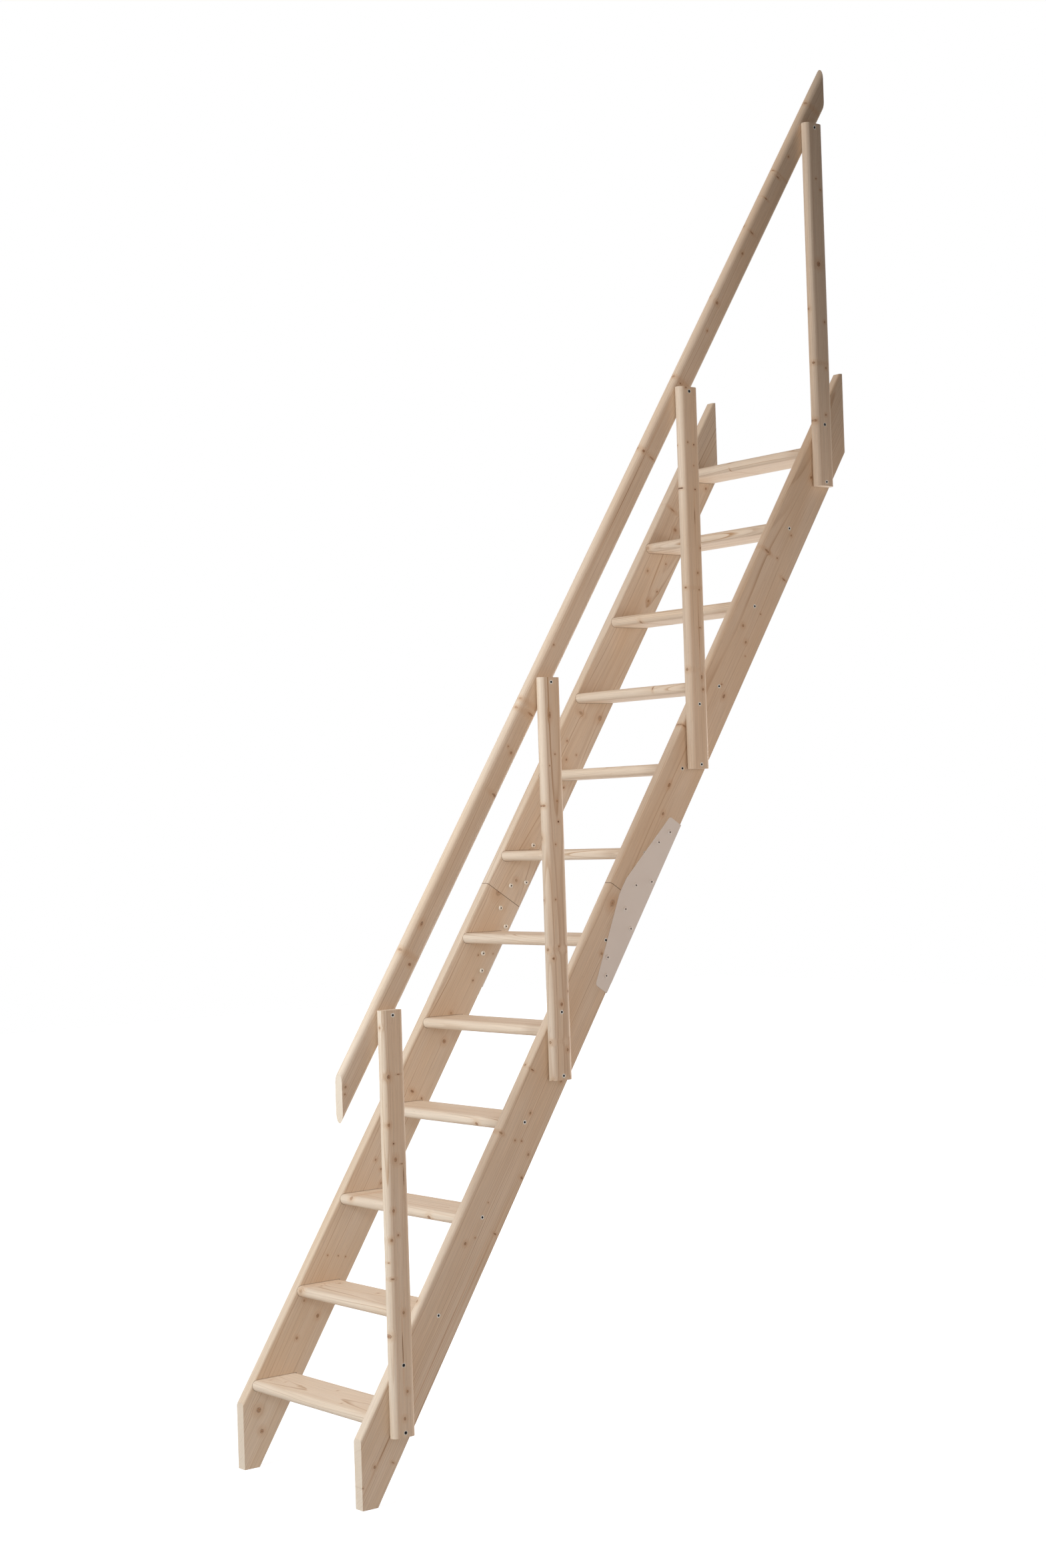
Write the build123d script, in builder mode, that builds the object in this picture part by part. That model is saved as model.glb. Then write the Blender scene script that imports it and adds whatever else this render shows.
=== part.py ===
from build123d import *
import os
from math import atan2, cos, sin, tan

os.makedirs("parts", exist_ok=True)

# Sizes in mm. X runs across the stair, Y towards the climb, Z up from the lower floor.
# The origin lies on the floor, in the middle of the level cut under the right stringer.

# Climb: thirteen equal risers from floor to floor, the last one onto the upper floor
floor_to_floor = 2800
riser_count = 13
going = 139.3
tread_count = riser_count - 1
rise = floor_to_floor / riser_count
slope = atan2(rise, going)

# Stringers
overall_width = 544
stringer_thick = 29
stringer_depth = 125.3
stringer_arris = 6
foot_length = 43
top_below_floor = 4
top_level_cut = 8.5
joint_tread = 6
joint_past_middle = 34

# Treads, let into housings routed in the stringers
tread_thick = 27
tread_depth = 129
tread_back_round = 4
first_nosing = 29.5
housing_depth = 10
housing_clear = 0.3

# Handrail and its posts, all of one round-edged board
rail_thick = 28
rail_width = 63.5
rail_before_foot = 22
rail_before_top = 34
post_length = 996
post_drop = 175.5
post_shares = (0.0632, 0.3608, 0.6499, 0.9401)

# Splice plates over the joint of each stringer
plate_thick = 2
plate_half = 248
plate_end_below = 84.3
plate_peak_below = 36.5
plate_peak_up = 12
plate_peak_half = 22
plate_corner = 8
plate_peak_round = 25
plate_holes = ((35, 72.5), (69.3, 113), (169.5, 83), (212, 102.5))

# Fixings: through bolts at the splices, flush screws everywhere else
bolt_dia = 6
bolt_hole = 6.4
bolt_head = 13
bolt_head_high = 2.5
bolt_head_round = 2.2
screw_dia = 5
screw_hole = 5.4
screw_head = 10
countersink_dia = 10.3
pilot_spare = 1
socket_dia = 4
socket_deep = 3
head_sink = 1
tread_screw_back = 64.5
tread_screw_length = 70
post_screw_length = 45
post_screw_up = (11, 168)
rail_screw_down = 12
rail_screw_low = 9

# Places that follow from the sizes above
foot_front = -foot_length / 2
stringer_run = stringer_depth / sin(slope)
foot_front_height = (stringer_run - foot_length) * tan(slope)
top_height = floor_to_floor - top_below_floor
joint_middle_y = first_nosing + (joint_tread - 0.5) * going
joint_along = joint_middle_y / cos(slope) + joint_past_middle
right_face = stringer_thick / 2
right_inner = -stringer_thick / 2
left_face = right_face - overall_width
left_inner = left_face + stringer_thick
post_face = right_face + rail_thick
post_screw_in = post_screw_length - rail_thick


def slope_point(along, below=0.0):
    """Gives (Y, Z) of a point along the stringer's upper edge and square below it."""
    y = foot_front + along * cos(slope) + below * sin(slope)
    z = foot_front_height + along * sin(slope) - below * cos(slope)
    return (y, z)


def edge_y(z, below=0.0):
    """Gives Y where a line parallel to the stringer's upper edge reaches the height z."""
    y_start, z_start = slope_point(0, below)
    return y_start + (z - z_start) / tan(slope)


def edge_z(y):
    """Gives the height of the stringer's upper edge at Y."""
    return foot_front_height + (y - foot_front) * tan(slope)


# Outlines of the two lengths of a stringer, as (Y, Z) points
joint_top = slope_point(joint_along)
joint_bottom = slope_point(joint_along, stringer_depth)
level_start = edge_y(top_height)
plumb_y = level_start + top_level_cut
plumb_foot = edge_z(plumb_y) - stringer_run * tan(slope)
lower_outline = (
    (foot_front, foot_front_height),
    (foot_front, 0),
    (foot_front + foot_length, 0),
    joint_bottom,
    joint_top,
)
upper_outline = (joint_top, joint_bottom, (plumb_y, plumb_foot), (plumb_y, top_height), (level_start, top_height))

tread_places = []
for step in range(tread_count):
    nosing_y = foot_front + first_nosing + step * going
    tread_top = (step + 1) * rise
    tread_places.append((nosing_y, tread_top - tread_thick / 2))
joint_z = (joint_top[1] + joint_bottom[1]) / 2
lower_treads = [place for place in tread_places if place[1] < joint_z]
upper_treads = [place for place in tread_places if place[1] > joint_z]

# Feet of the posts, and the handrail's centre line that their top screws pass
post_feet = []
for share in post_shares:
    y = foot_front + share * (plumb_y - foot_front)
    post_feet.append((y, edge_z(y) - post_drop))
rail_mid_rise = (post_length - post_drop - rail_screw_down) * cos(slope) + rail_screw_low

climb_axis = Axis((0, 0, 0), (0, cos(slope), sin(slope)))
square_axis = Axis((0, 0, 0), (0, -sin(slope), cos(slope)))
sketch_square_axis = Axis((0, 0, 0), (-sin(slope), cos(slope), 0))


def plate_hole_points():
    """Gives (Y, Z) of the holes of one splice plate, the same above and below the joint."""
    points = []
    for offset, below in plate_holes:
        points.append(slope_point(joint_along - offset, below))
        points.append(slope_point(joint_along + offset, below))
    return points


def tread_screw_points(places):
    """Gives (Y, Z) of the screws in the ends of the treads whose nosings are at places."""
    return [(y + tread_screw_back, z) for y, z in places]


def post_screw_points():
    """Gives (Y, Z) of the screws that hold the posts to the right stringer."""
    points = []
    for y, bottom in post_feet:
        for up in post_screw_up:
            points.append((y, bottom + up))
    return points


def rail_screw_points():
    """Gives (Y, Z) of the screws that hold the handrail to the posts."""
    return [(y, bottom + post_length - rail_screw_down) for y, bottom in post_feet]


def screw_drill(points, face_x, inward, depth, flush=False):
    """Makes the drill for a row of screws along X from face_x, with conical seats if the heads lie flush."""
    with BuildPart() as drill:
        with BuildSketch(Plane.YZ.offset(face_x)):
            with Locations(*points):
                Circle(screw_hole / 2)
        extrude(amount=inward * depth)
        if flush:
            with BuildSketch(Plane.YZ.offset(face_x)):
                with Locations(*points):
                    Circle(countersink_dia / 2)
            extrude(amount=inward * (countersink_dia - screw_hole) / 2, taper=45)
    return drill.part


def make_stringer(outline, places, inner, towards_inner, label):
    """Makes one length of a stringer with its tread housings, arrises and holes."""
    outer = inner - towards_inner * stringer_thick
    tread_drill = screw_drill(tread_screw_points(places), outer, towards_inner, stringer_thick, flush=True)
    post_drill = screw_drill(post_screw_points(), outer, towards_inner, post_screw_in + pilot_spare)
    with BuildPart() as stringer:
        with BuildSketch(Plane.YZ.offset(outer)):
            with BuildLine():
                Polyline(*outline, close=True)
            make_face()
        extrude(amount=towards_inner * stringer_thick)
        long_edges = stringer.edges().filter_by(climb_axis)
        fillet(long_edges.sort_by(square_axis)[-2:], radius=stringer_arris)
        # housings, a little larger than the tread above and behind it
        for y, z in places:
            with BuildSketch(Plane.YZ.offset(inner)):
                with Locations((y + tread_thick / 2, z)):
                    Circle(tread_thick / 2)
                length = tread_depth - tread_thick / 2 + housing_clear
                with Locations((y + tread_thick / 2, z - tread_thick / 2)):
                    Rectangle(length, tread_thick + housing_clear, align=(Align.MIN, Align.MIN))
            extrude(amount=-towards_inner * housing_depth, mode=Mode.SUBTRACT)
        add(tread_drill, mode=Mode.SUBTRACT)
        with BuildSketch(Plane.YZ.offset(outer)):
            with Locations(*plate_hole_points()):
                Circle(bolt_hole / 2)
        extrude(amount=towards_inner * stringer_thick, mode=Mode.SUBTRACT)
        if inner == right_inner:
            add(post_drill, mode=Mode.SUBTRACT)
    stringer.part.label = label
    return stringer.part


# Stringers, each in two lengths that butt at the splice
stringer_sides = (("left", left_inner, 1), ("right", right_inner, -1))
stringer_lengths = (("lower", lower_outline, lower_treads), ("upper", upper_outline, upper_treads))
for side, inner, towards_inner in stringer_sides:
    for name, outline, places in stringer_lengths:
        piece = make_stringer(outline, places, inner, towards_inner, f"{side}_stringer_{name}")
        export_step(piece, f"parts/{side}_stringer_{name}.step")

# Treads, round-nosed, with pilot holes for the screws
tread_length = right_inner - left_inner + 2 * housing_depth
pilot_depth = tread_screw_length - (stringer_thick - housing_depth) + pilot_spare
for number, (y, z) in enumerate(tread_places, start=1):
    left_drill = screw_drill([(y + tread_screw_back, z)], left_inner - housing_depth, 1, pilot_depth)
    right_drill = screw_drill([(y + tread_screw_back, z)], right_inner + housing_depth, -1, pilot_depth)
    with BuildPart() as tread:
        with BuildSketch(Plane.YZ.offset(left_inner - housing_depth)):
            with Locations((y + tread_thick / 2, z)):
                Circle(tread_thick / 2)
                Rectangle(tread_depth - tread_thick / 2, tread_thick, align=(Align.MIN, Align.CENTER))
        extrude(amount=tread_length)
        fillet(tread.edges().filter_by(Axis.X).sort_by(Axis.Y)[-2:], radius=tread_back_round)
        add(left_drill, mode=Mode.SUBTRACT)
        add(right_drill, mode=Mode.SUBTRACT)
    tread.part.label = f"tread_{number:02d}"
    export_step(tread.part, f"parts/tread_{number:02d}.step")

# Posts against the outer face of the right stringer
for number, (y, bottom) in enumerate(post_feet, start=1):
    heights = (*post_screw_up, post_length - rail_screw_down)
    post_drill = screw_drill([(y, bottom + up) for up in heights], post_face, -1, rail_thick, flush=True)
    with BuildPart() as post:
        with BuildSketch(Plane.XY.offset(bottom)):
            with Locations((right_face + rail_thick / 2, y)):
                SlotOverall(rail_width, rail_thick, rotation=90)
        extrude(amount=post_length)
        add(post_drill, mode=Mode.SUBTRACT)
    post.part.label = f"post_{number}"
    export_step(post.part, f"parts/post_{number}.step")

# Handrail inside the posts, parallel to the climb, plumb at both ends
rail_start_y = foot_front - rail_before_foot
rail_end_y = plumb_y - rail_before_top
rail_mid_y, rail_mid_z = slope_point(0, -rail_mid_rise)
rail_plane = Plane(
    origin=(right_face - rail_thick / 2, rail_mid_y, rail_mid_z),
    x_dir=(0, -sin(slope), cos(slope)),
    z_dir=(0, cos(slope), sin(slope)),
)
rail_drill = screw_drill(rail_screw_points(), right_face, -1, post_screw_in + pilot_spare)
with BuildPart() as handrail:
    with BuildSketch(rail_plane):
        SlotOverall(rail_width, rail_thick)
    extrude(amount=2 * (rail_end_y - rail_start_y) / cos(slope), both=True)
    split(bisect_by=Plane.XZ.offset(-rail_start_y), keep=Keep.BOTTOM)
    split(bisect_by=Plane.XZ.offset(-rail_end_y), keep=Keep.TOP)
    add(rail_drill, mode=Mode.SUBTRACT)
handrail.part.label = "handrail"
export_step(handrail.part, "parts/handrail.step")

# Splice plates, bent round the rear edge of the stringers
for side, outer, outward in (("left", left_face, -1), ("right", right_face, 1)):
    lower_end = joint_along - plate_half
    upper_end = joint_along + plate_half
    peak_along = joint_along + plate_peak_up
    with BuildPart() as plate:
        with BuildSketch(Plane.YZ.offset(outer)) as outline:
            with BuildLine():
                Polyline(
                    slope_point(lower_end, stringer_depth + plate_thick),
                    slope_point(lower_end, plate_end_below),
                    slope_point(peak_along - plate_peak_half, plate_peak_below),
                    slope_point(peak_along + plate_peak_half, plate_peak_below),
                    slope_point(upper_end, plate_end_below),
                    slope_point(upper_end, stringer_depth + plate_thick),
                    close=True,
                )
            make_face()
            fillet(outline.vertices().sort_by(sketch_square_axis)[2:4], radius=plate_corner)
            fillet(outline.vertices().sort_by(sketch_square_axis)[-2:], radius=plate_peak_round)
        extrude(amount=outward * plate_thick)
        with BuildSketch(Plane.YZ.offset(outer)):
            with BuildLine():
                Polyline(
                    slope_point(lower_end, stringer_depth),
                    slope_point(upper_end, stringer_depth),
                    slope_point(upper_end, stringer_depth + plate_thick),
                    slope_point(lower_end, stringer_depth + plate_thick),
                    close=True,
                )
            make_face()
        extrude(amount=-outward * stringer_thick)
        with BuildSketch(Plane.YZ.offset(outer)):
            with Locations(*plate_hole_points()):
                Circle(bolt_hole / 2)
        extrude(amount=outward * plate_thick, mode=Mode.SUBTRACT)
    plate.part.label = f"{side}_splice_plate"
    export_step(plate.part, f"parts/{side}_splice_plate.step")


def make_bolts(points, seat, inner, outward, label):
    """Makes the through bolts of a splice: domed heads on the plate at seat, domed caps inside."""
    with BuildPart() as bolts:
        with BuildSketch(Plane.YZ.offset(seat)):
            with Locations(*points):
                Circle(bolt_dia / 2)
        extrude(amount=-outward * (plate_thick + stringer_thick))
        for face_x, away in ((seat, outward), (inner, -outward)):
            crown = face_x + away * bolt_head_high
            with BuildSketch(Plane.YZ.offset(face_x)):
                with Locations(*points):
                    Circle(bolt_head / 2)
            extrude(amount=away * bolt_head_high)
            fillet(bolts.edges().filter_by_position(Axis.X, crown, crown), radius=bolt_head_round)
            with BuildSketch(Plane.YZ.offset(crown)):
                with Locations(*points):
                    Circle(socket_dia / 2)
            extrude(amount=-away * (bolt_head_high + head_sink), mode=Mode.SUBTRACT)
    bolts.part.label = label
    export_step(bolts.part, f"parts/{label}.step")


def make_screws(points, face_x, outward, length, label):
    """Makes a row of screws with conical heads flush with the face at face_x."""
    with BuildPart() as screws:
        with BuildSketch(Plane.YZ.offset(face_x)):
            with Locations(*points):
                Circle(screw_head / 2)
        extrude(amount=-outward * (screw_head - screw_dia) / 2, taper=45)
        with BuildSketch(Plane.YZ.offset(face_x - outward * length)):
            with Locations(*points):
                Circle(screw_dia / 2)
        extrude(amount=outward * (length - head_sink))
        with BuildSketch(Plane.YZ.offset(face_x)):
            with Locations(*points):
                Circle(socket_dia / 2)
        extrude(amount=-outward * socket_deep, mode=Mode.SUBTRACT)
    screws.part.label = label
    export_step(screws.part, f"parts/{label}.step")


# Fixings
for side, outer, inner, outward in (("left", left_face, left_inner, -1), ("right", right_face, right_inner, 1)):
    make_bolts(plate_hole_points(), outer + outward * plate_thick, inner, outward, f"{side}_plate_bolts")
    make_screws(tread_screw_points(tread_places), outer, outward, tread_screw_length, f"{side}_tread_screws")
make_screws(post_screw_points(), post_face, 1, post_screw_length, "post_screws")
make_screws(rail_screw_points(), post_face, 1, post_screw_length, "rail_screws")
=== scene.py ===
"""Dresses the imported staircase: spruce boards, coated plates, zinc fixings and a pale studio."""

import logging
from dataclasses import dataclass, field, replace
from enum import Enum
from math import atan2, cos, radians, sin

import bpy
from mathutils import Matrix, Vector

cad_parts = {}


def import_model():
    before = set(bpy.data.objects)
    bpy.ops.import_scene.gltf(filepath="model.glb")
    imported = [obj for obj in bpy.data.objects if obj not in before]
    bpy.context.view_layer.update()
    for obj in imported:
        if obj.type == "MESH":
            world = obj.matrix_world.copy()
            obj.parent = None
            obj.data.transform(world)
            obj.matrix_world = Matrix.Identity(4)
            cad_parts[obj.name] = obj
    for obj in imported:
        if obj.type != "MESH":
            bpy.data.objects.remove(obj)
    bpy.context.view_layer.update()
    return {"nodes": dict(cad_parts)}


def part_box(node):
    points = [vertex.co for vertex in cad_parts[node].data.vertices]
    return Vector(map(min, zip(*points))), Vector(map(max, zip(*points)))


log = logging.getLogger("staircase")

PHOTO_HEIGHT = 2351

# The stair's sizes in metres, in its own axes: X across, Y the way a person climbs, Z up
STEPS = 12
POSTS = 4
RISE = 2.8 / 13
GOING = 0.1393
TREAD_THICKNESS = 0.027
TREAD_DEPTH = 0.129
FIRST_NOSING = 0.008
STAIR_MIDDLE = -0.2575
FOOT_FRONT = (-0.0215, 0.16424)
SLOPE = atan2(RISE, GOING)
CLIMB = Vector((0, cos(SLOPE), sin(SLOPE)))
SQUARE = Vector((0, -sin(SLOPE), cos(SLOPE)))

# How wood noise is stretched: lumps to a metre along, across and through a board
DRIFT_LUMPS = (1.3, 1.0, 1.0)
RIPPLE_LUMPS = (4.0, 30.0, 30.0)
STREAK_LUMPS = (9.0, 800.0, 800.0)
BAND_LUMPS = (1.6, 95.0, 95.0)
PATCH_LUMPS = (2.2, 14.0, 14.0)
FLECK_LUMPS = (60.0, 1100.0, 1100.0)
RIDGE_LUMPS = (9.0, 700.0, 700.0)

# A board's own place in the noise: steps for each seed, taken within a span
SEED_STEPS = (7.13, 3.71, 5.39)
SEED_SPAN = 50

# The part of a noise's range in which most of it lies, and the part that shows as flecks
NOISE_MIDDLE = (0.3, 0.7)
FLECKS = (0.68, 0.80)

# Growth rings: where the late wood of a ring comes and goes, the ripple in metres, how good and
# bad years spread the rings, and how they pale the late wood
LATE_COMES = (0.50, 0.90)
LATE_GOES = (0.92, 1.0)
RING_RIPPLE = 0.0020
YEAR_SCALE = 0.45
YEAR_SPREAD = 2.2
YEAR_WEIGHT = (0.25, 1.0, 0.20, 1.0)

# A knot, with distances in its own radii: how it bends the grain, and the edges of its disc, of
# the dark rim round that, of its heart and of its halo
KNOT_LUMPS = 230.0
KNOT_WOBBLE = 1.3
KNOT_REACH = 0.16
KNOT_SQUEEZE = 0.85
CORE_ENDS = (0.45, 1.20)
RIM_COMES = (0.55, 0.95)
RIM_GOES = (0.98, 1.35)
HEART_ENDS = (0.15, 0.50, 0.75)
HALO_ENDS = (0.6, 4.6)

# A knot's rim breaks where its rough noise is low, and less so the darker the knot is; a very
# dark knot is dark all over
RIM_BREAKS = (0.35, 0.60)
RIM_BY_DARKNESS = (0.30, 1.00, 0.30, 1.00)
ALL_DARK = (0.86, 1.0)

# The painted shade round the housings: its edge in metres, and how far out the inner faces reach
HOUSING_SHADE_ENDS = (0.0004, 0.0019)
INNER_FACES_END = (0.2440, 0.2460)

# How far round a spot the painted shade of the sockets looks for walls, in metres, and in
# how many directions
SOCKET_REACH = 0.005
SOCKET_RAYS = 6

Colour = tuple[float, float, float, float]
Light = tuple[float, float, float]
Corner = tuple[float, float, float]
Row = tuple[float, float, float, float, float]
Pair = tuple[float, float]
Socket = bpy.types.NodeSocket


def linear(red: int, green: int, blue: int) -> Colour:
    """Turns a colour as a screen shows it into the linear one that shaders use.

    Args:
        red: Red, 0 to 255.
        green: Green, 0 to 255.
        blue: Blue, 0 to 255.

    Returns:
        The linear colour with alpha 1.
    """
    channels = []
    for value in (red, green, blue):
        share = value / 255
        channels.append(share / 12.92 if share <= 0.04045 else ((share + 0.055) / 1.055) ** 2.4)
    return (*channels, 1.0)


class KnotRun(Enum):
    """The way a branch ran through a board."""

    THROUGH_FACE = "through the wide face"
    THROUGH_EDGE = "through the narrow edge"


class Graph:
    """A node tree while it is being wired."""

    def __init__(self, tree: bpy.types.NodeTree) -> None:
        """Takes the tree that gets the nodes."""
        self.tree = tree

    def add(self, kind: str, **inputs: object) -> bpy.types.Node:
        """Adds a node and fills its inputs.

        Args:
            kind: The node's type without its ShaderNode prefix, or a full type name.
            **inputs: Values or sockets by input name, with _ for a space; names that are node
                attributes, such as operation, are set on the node.

        Returns:
            The new node.
        """
        full = kind if kind.startswith("Node") else f"ShaderNode{kind}"
        node = self.tree.nodes.new(full)
        own = {name: value for name, value in inputs.items() if hasattr(node, name)}
        for name, value in own.items():
            setattr(node, name, value)
        for name, value in inputs.items():
            if name not in own:
                self.feed(node, name.replace("_", " "), value)
        return node

    def fill(self, target: Socket, value: object) -> None:
        """Gives an input socket a link or a plain value.

        Args:
            target: The input socket.
            value: A socket to link, or else a number, vector or colour.
        """
        if isinstance(value, bpy.types.NodeSocket):
            self.tree.links.new(value, target)
        else:
            target.default_value = value

    def feed(self, node: bpy.types.Node, name: str | int, value: object) -> None:
        """Gives one input of a node a link or a plain value.

        Args:
            node: The node.
            name: The input's name or number.
            value: A socket to link, or else a number, vector or colour.
        """
        self.fill(node.inputs[name], value)

    def group(self, tree: bpy.types.NodeTree, **inputs: object) -> bpy.types.Node:
        """Places a node group and fills its inputs.

        Args:
            tree: The group's tree.
            **inputs: Values or sockets by input name, with _ for a space.

        Returns:
            The group node.
        """
        node = self.tree.nodes.new("ShaderNodeGroup")
        node.node_tree = tree
        for name, value in inputs.items():
            self.feed(node, name.replace("_", " "), value)
        return node

    def maths(self, operation: str, *values: float | Socket) -> Socket:
        """Adds a Math node and returns its result.

        Args:
            operation: The node's operation.
            *values: One to three numbers or sockets.

        Returns:
            The result socket.
        """
        node = self.add("Math", operation=operation)
        for index, value in enumerate(values):
            self.feed(node, index, value)
        return node.outputs[0]

    def vectors(self, operation: str, *values: object) -> bpy.types.Node:
        """Adds a Vector Math node.

        Args:
            operation: The node's operation.
            *values: One to three vectors, or sockets that carry them.

        Returns:
            The node, with its Vector and Value outputs.
        """
        node = self.add("VectorMath", operation=operation)
        for index, value in enumerate(values):
            self.feed(node, index, value)
        return node

    def split(self, vector: Socket) -> bpy.types.bpy_prop_collection:
        """Takes a vector apart into outputs named X, Y and Z."""
        return self.add("SeparateXYZ", Vector=vector).outputs

    def length(self, first: Socket, second: Socket) -> Socket:
        """Gives the length of a flat vector from its two sides."""
        squares = (self.maths("MULTIPLY", side, side) for side in (first, second))
        return self.maths("SQRT", self.maths("ADD", *squares))

    def ramp(
        self, value: Socket, low: float, high: float, start: float = 0.0, end: float = 1.0
    ) -> Socket:
        """Eases a value from start to end as it goes from low to high.

        Args:
            value: The socket read.
            low: Where the change begins.
            high: Where the change ends.
            start: Result at low and under it.
            end: Result at high and over it.

        Returns:
            The eased value.
        """
        node = self.add("MapRange", interpolation_type="SMOOTHSTEP")
        for index, entry in enumerate((value, low, high, start, end)):
            self.feed(node, index, entry)
        return node.outputs["Result"]

    def fade(self, value: Socket, low: float, high: float, full: float = 1.0) -> Socket:
        """Eases a value from full at low down to nothing at high.

        Args:
            value: The socket read.
            low: Where the fall begins.
            high: Where it has ended.
            full: Result at low and under it.

        Returns:
            The eased value.
        """
        return self.ramp(value, low, high, full, 0.0)

    def mix(
        self, share: float | Socket, first: Colour | Socket, second: Colour | Socket
    ) -> Socket:
        """Mixes two colours and returns the result.

        Args:
            share: How much of the second colour shows.
            first: The colour underneath.
            second: The colour on top.

        Returns:
            The mixed colour.
        """
        node = self.add("Mix", data_type="RGBA")
        sockets = {socket.identifier: socket for socket in node.inputs}
        self.fill(sockets["Factor_Float"], share)
        self.fill(sockets["A_Color"], first)
        self.fill(sockets["B_Color"], second)
        return next(socket for socket in node.outputs if socket.identifier == "Result_Color")

    def noise(
        self, vector: Socket, scale: float = 1.0, detail: float = 2.0, roughness: float = 0.5
    ) -> Socket:
        """Adds a noise texture and returns its value.

        Args:
            vector: Where it is read.
            scale: Lumps for each unit of the vector.
            detail: Octaves.
            roughness: Weight of the finer octaves.

        Returns:
            The noise value, about 0 to 1.
        """
        node = self.add(
            "TexNoise", Vector=vector, Scale=scale, Detail=detail, Roughness=roughness
        )
        return node.outputs["Fac"]

    def stretch(self, vector: Socket, scale: Corner, shift: Socket | Vector) -> Socket:
        """Scales a vector by axis and then shifts it.

        Args:
            vector: The vector read.
            scale: Factor along each axis.
            shift: Vector added afterwards.

        Returns:
            The stretched vector.
        """
        return self.vectors("MULTIPLY_ADD", vector, scale, shift).outputs["Vector"]

    def place(self) -> Socket:
        """Gives the place on the part, in the stair's own axes."""
        return self.add("TexCoord").outputs["Object"]

    def openness(self) -> Socket:
        """Measures how open a spot lies, so that sockets can get painted shade.

        Returns:
            1 on a flat, and near 0 down in a narrow socket.
        """
        return self.add(
            "AmbientOcclusion", only_local=True, samples=SOCKET_RAYS, Distance=SOCKET_REACH
        ).outputs["AO"]

    def seen(self) -> Socket:
        """Tells what is looked at from what only lights the stair.

        Returns:
            1 for rays of the camera, of a gloss or through a glass, and 0 for all others.
        """
        path = self.add("LightPath").outputs
        direct = self.maths("MAXIMUM", path["Is Camera Ray"], path["Is Glossy Ray"])
        return self.maths("MAXIMUM", direct, path["Is Transmission Ray"])

    def bump(self, height: Socket, strength: float, depth: float) -> Socket:
        """Turns a height into a normal.

        Args:
            height: The height, about 0 to 1.
            strength: How strongly it shows.
            depth: What a height of 1 stands for, in metres.

        Returns:
            The normal.
        """
        return self.add("Bump", Height=height, Strength=strength, Distance=depth).outputs[0]

    def surface(self, **inputs: object) -> None:
        """Ends a material with a Principled shader that has these inputs, named as in add."""
        self.show(self.add("BsdfPrincipled", **inputs))

    def show(self, shader: bpy.types.Node, kind: str = "OutputMaterial") -> None:
        """Ends the tree with its output node.

        Args:
            shader: The node whose first output is shown.
            kind: The output node's type.
        """
        self.feed(self.add(kind), "Surface", shader.outputs[0])


def new_material(name: str) -> tuple[bpy.types.Material, Graph]:
    """Starts a material with an empty node tree.

    Args:
        name: The material's name.

    Returns:
        The material and its graph.
    """
    material = bpy.data.materials.new(name)
    material.use_nodes = True
    material.node_tree.nodes.clear()
    return material, Graph(material.node_tree)


def new_group(
    name: str, inputs: dict[str, tuple[str, object]], outputs: dict[str, str]
) -> tuple[Graph, bpy.types.Node, bpy.types.Node]:
    """Starts a shader node group with named sockets.

    Args:
        name: The group's name.
        inputs: Socket type and default for each input name.
        outputs: Socket type for each output name.

    Returns:
        The graph, its input node and its output node.
    """
    tree = bpy.data.node_groups.new(name, "ShaderNodeTree")
    for label, (kind, default) in inputs.items():
        socket = tree.interface.new_socket(
            label, in_out="INPUT", socket_type=f"NodeSocket{kind}"
        )
        socket.default_value = default
    for label, kind in outputs.items():
        tree.interface.new_socket(label, in_out="OUTPUT", socket_type=f"NodeSocket{kind}")
    graph = Graph(tree)
    return graph, graph.add("NodeGroupInput"), graph.add("NodeGroupOutput")


def rings_group() -> bpy.types.NodeTree:
    """Makes the growth rings of a softwood log, read in a board's own axes.

    Returns:
        The group, with the late wood's mask.
    """
    graph, start, end = new_group(
        "growth rings",
        {
            "Vector": ("Vector", (0, 0, 0)),
            "Seed": ("Vector", (0, 0, 0)),
            "Pith Across": ("Float", 0.0),
            "Pith Below": ("Float", -0.08),
            "Ring Width": ("Float", 0.004),
            "Wander": ("Float", 0.01),
        },
        {"Late": "Float"},
    )
    vector, seed, pith_across, pith_below, ring_width, wander = start.outputs[:6]
    slow = graph.stretch(vector, DRIFT_LUMPS, seed)
    drift = graph.add("TexNoise", Vector=slow, Scale=1.0, Detail=1.0).outputs["Color"]
    drift = graph.split(graph.vectors("SUBTRACT", drift, (0.5, 0.5, 0.5)).outputs["Vector"])
    place = graph.split(vector)
    pith_across = graph.maths("MULTIPLY_ADD", drift["Y"], wander, pith_across)
    pith_below = graph.maths("MULTIPLY_ADD", drift["Z"], wander, pith_below)
    radius = graph.length(
        graph.maths("SUBTRACT", place["Y"], pith_across),
        graph.maths("SUBTRACT", place["Z"], pith_below),
    )
    ripple = graph.noise(graph.stretch(vector, RIPPLE_LUMPS, seed))
    radius = graph.maths("MULTIPLY_ADD", ripple, RING_RIPPLE, radius)
    phase = graph.maths("DIVIDE", radius, ring_width)
    years = graph.add(
        "TexNoise", noise_dimensions="1D", W=phase, Scale=YEAR_SCALE, Detail=1.0
    ).outputs["Fac"]
    phase = graph.maths("MULTIPLY_ADD", years, YEAR_SPREAD, phase)
    part = graph.maths("FRACT", phase)
    late = graph.maths("MULTIPLY", graph.ramp(part, *LATE_COMES), graph.fade(part, *LATE_GOES))
    number = graph.maths("FLOOR", phase)
    year = graph.add("TexWhiteNoise", noise_dimensions="1D", W=number).outputs["Value"]
    weight = graph.ramp(year, *YEAR_WEIGHT)
    graph.feed(end, "Late", graph.maths("MULTIPLY", late, weight))
    return graph.tree


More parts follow.
